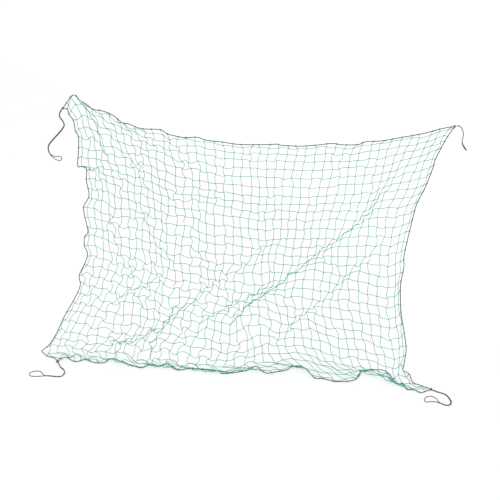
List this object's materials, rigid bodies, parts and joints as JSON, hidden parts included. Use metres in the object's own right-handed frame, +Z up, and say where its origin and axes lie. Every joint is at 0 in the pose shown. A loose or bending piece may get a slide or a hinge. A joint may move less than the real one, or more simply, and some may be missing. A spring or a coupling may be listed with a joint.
{
  "type": "elastic cargo net",
  "caption": "Knotted square-mesh net edged with elastic cord and a doubled cord loop at each corner, hung by its top corners; ties loose loads down on a trailer.",
  "frame": {"origin": "on top of the edge cord, in the middle of the sagging top edge", "axes": "+X along the top edge to the right as seen from the front, +Y from the front of the net to its back, +Z up"},
  "size_m": [2.1421, 0.4504, 1.3629],
  "materials": {
    "net_twine": "satin green polyethylene twine",
    "elastic_cord": "matt black braided cover over a rubber core"
  },
  "bodies": {
    "root": {"net": "net_twine", "edge_cord_top": "elastic_cord", "edge_cord_left": "elastic_cord", "edge_cord_right": "elastic_cord", "edge_cord_hem": "elastic_cord", "corner_knot_top_left": "elastic_cord", "corner_knot_top_right": "elastic_cord", "corner_knot_hem_left": "elastic_cord", "corner_knot_hem_right": "elastic_cord", "tail_top_left": "elastic_cord", "tail_top_right": "elastic_cord", "tail_hem_left": "elastic_cord", "tail_hem_right": "elastic_cord"}
  },
  "joints": []
}
